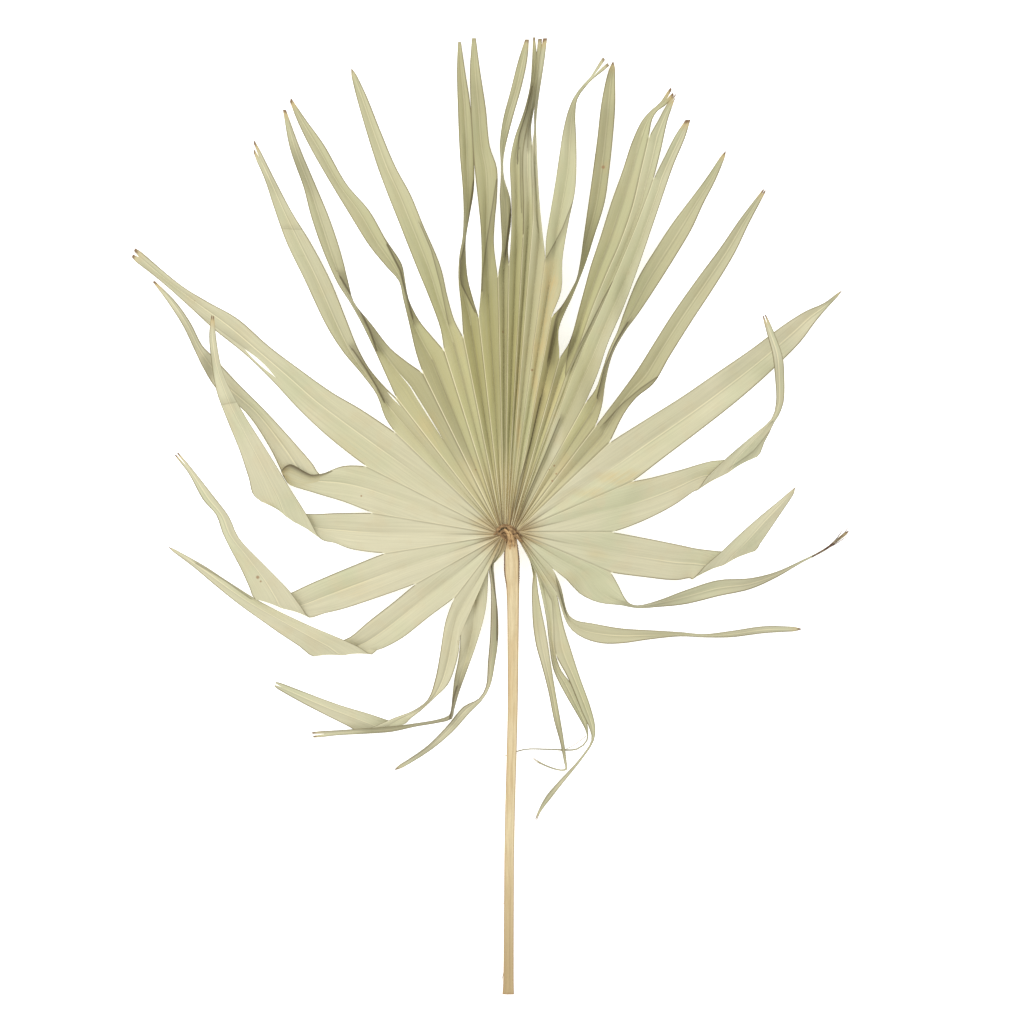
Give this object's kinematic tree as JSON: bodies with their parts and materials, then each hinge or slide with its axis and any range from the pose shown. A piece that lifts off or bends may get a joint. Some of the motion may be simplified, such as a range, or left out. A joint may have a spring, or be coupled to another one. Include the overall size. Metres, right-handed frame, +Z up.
{
  "type": "fan palm leaf",
  "caption": "Dried fan palm leaf lying flat: a long petiole, a hastula on its head, and a round pleated blade cut into long, partly folded and twisted segments.",
  "frame": {"origin": "on the surface that the leaf lies on, under the middle of the rectangle that it covers", "axes": "+Z up, from the underside of the leaf to its upper face; +Y from the petiole's cut end towards the middle of the fan; +X to the right of the leaf seen from above"},
  "size_m": [0.7171, 0.9561, 0.0414],
  "materials": {
    "blade": "dry, pale grey-green to straw leaf tissue with fine lengthwise veins, low sheen",
    "petiole": "smooth dry tan stalk with fine lengthwise fibres, low sheen",
    "hastula": "dry brown papery fibre, matt"
  },
  "bodies": {
    "root": {"blade": "blade", "petiole": "petiole", "hastula": "hastula"}
  },
  "joints": []
}
